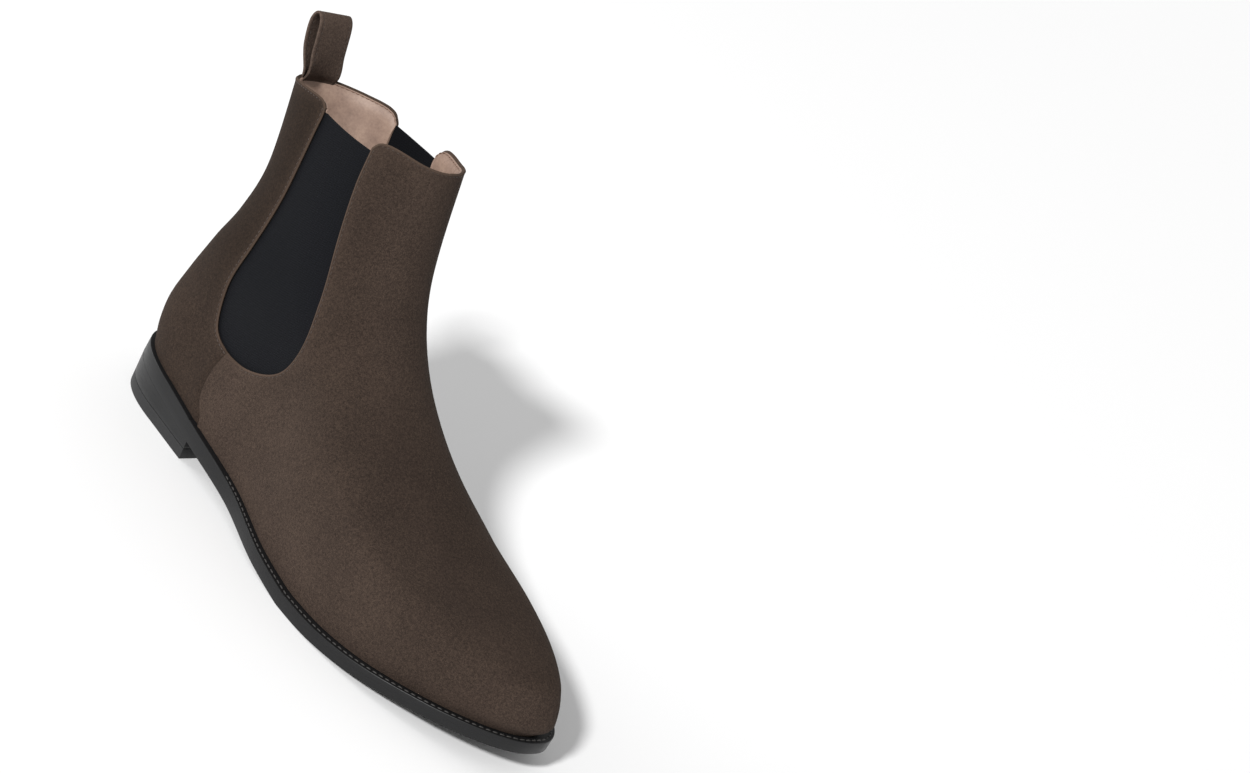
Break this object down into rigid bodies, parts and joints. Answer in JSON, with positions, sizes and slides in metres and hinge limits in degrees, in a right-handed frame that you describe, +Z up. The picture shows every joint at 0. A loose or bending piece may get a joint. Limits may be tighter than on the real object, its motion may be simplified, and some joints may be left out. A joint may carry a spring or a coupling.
{
  "type": "chelsea boot",
  "caption": "Ankle-high pull-on suede boot with elastic side panels, a pull tab, a welted leather sole and a low stacked heel, for the right foot.",
  "frame": {"origin": "centre of the heel on the ground: the point of the top piece face under the middle of the heel seat", "axes": "+X from the heel to the toe, +Y to the inside (medial side) of the right foot, +Z up out of the ground"},
  "size_m": [0.3099, 0.0973, 0.2117],
  "materials": {
    "suede": "brushed nap, matt",
    "elastic": "ribbed twill weave",
    "lining_leather": "smooth, low sheen",
    "stiffener": "pressed fibre, matt",
    "black_leather": "burnished edge, semi-gloss",
    "tan_leather": "natural, matt",
    "cork": "granular, matt",
    "heel_rubber": "moulded, matt",
    "spring_steel": "brushed",
    "nail_steel": "plain wire",
    "nail_brass": "plain wire"
  },
  "bodies": {
    "boot": {"cork_filler": "cork", "gore_lateral": "elastic", "gore_medial": "elastic", "heel_counter": "stiffener", "heel_lift_1": "black_leather", "heel_lift_2": "black_leather", "heel_lift_3": "black_leather", "heel_nail_1": "nail_steel", "heel_nail_2": "nail_steel", "heel_nail_3": "nail_steel", "heel_nail_4": "nail_steel", "heel_nail_5": "nail_steel", "heel_rand": "black_leather", "insole": "tan_leather", "outsole": "black_leather", "quarter": "suede", "quarter_lining": "lining_leather", "shank": "spring_steel", "sock_liner": "lining_leather", "toe_puff": "stiffener", "top_piece": "heel_rubber", "top_piece_nail_1": "nail_brass", "top_piece_nail_2": "nail_brass", "top_piece_nail_3": "nail_brass", "top_piece_nail_4": "nail_brass", "top_piece_nail_5": "nail_brass", "top_piece_nail_6": "nail_brass", "top_piece_nail_7": "nail_brass", "vamp": "suede", "vamp_lining": "lining_leather", "welt": "black_leather"},
    "rear_shaft": {"quarter_shaft": "suede", "quarter_shaft_lining": "lining_leather", "pull_tab_tail": "suede"},
    "pull_loop": {"pull_tab": "suede"}
  },
  "joints": [
    {"name": "throat_open", "type": "hinge", "parent": "boot", "child": "rear_shaft", "pos_m": [-0.03183, 0, 0.0748], "axis": [0, -1, 0], "range_deg": [0, 9], "stiffness_Nm_per_rad": 5},
    {"name": "pull_tab_bend", "type": "hinge", "parent": "rear_shaft", "child": "pull_loop", "pos_m": [-0.02948, 0, 0.1837], "axis": [0, -1, 0], "range_deg": [-65, 50], "stiffness_Nm_per_rad": 0.02}
  ]
}
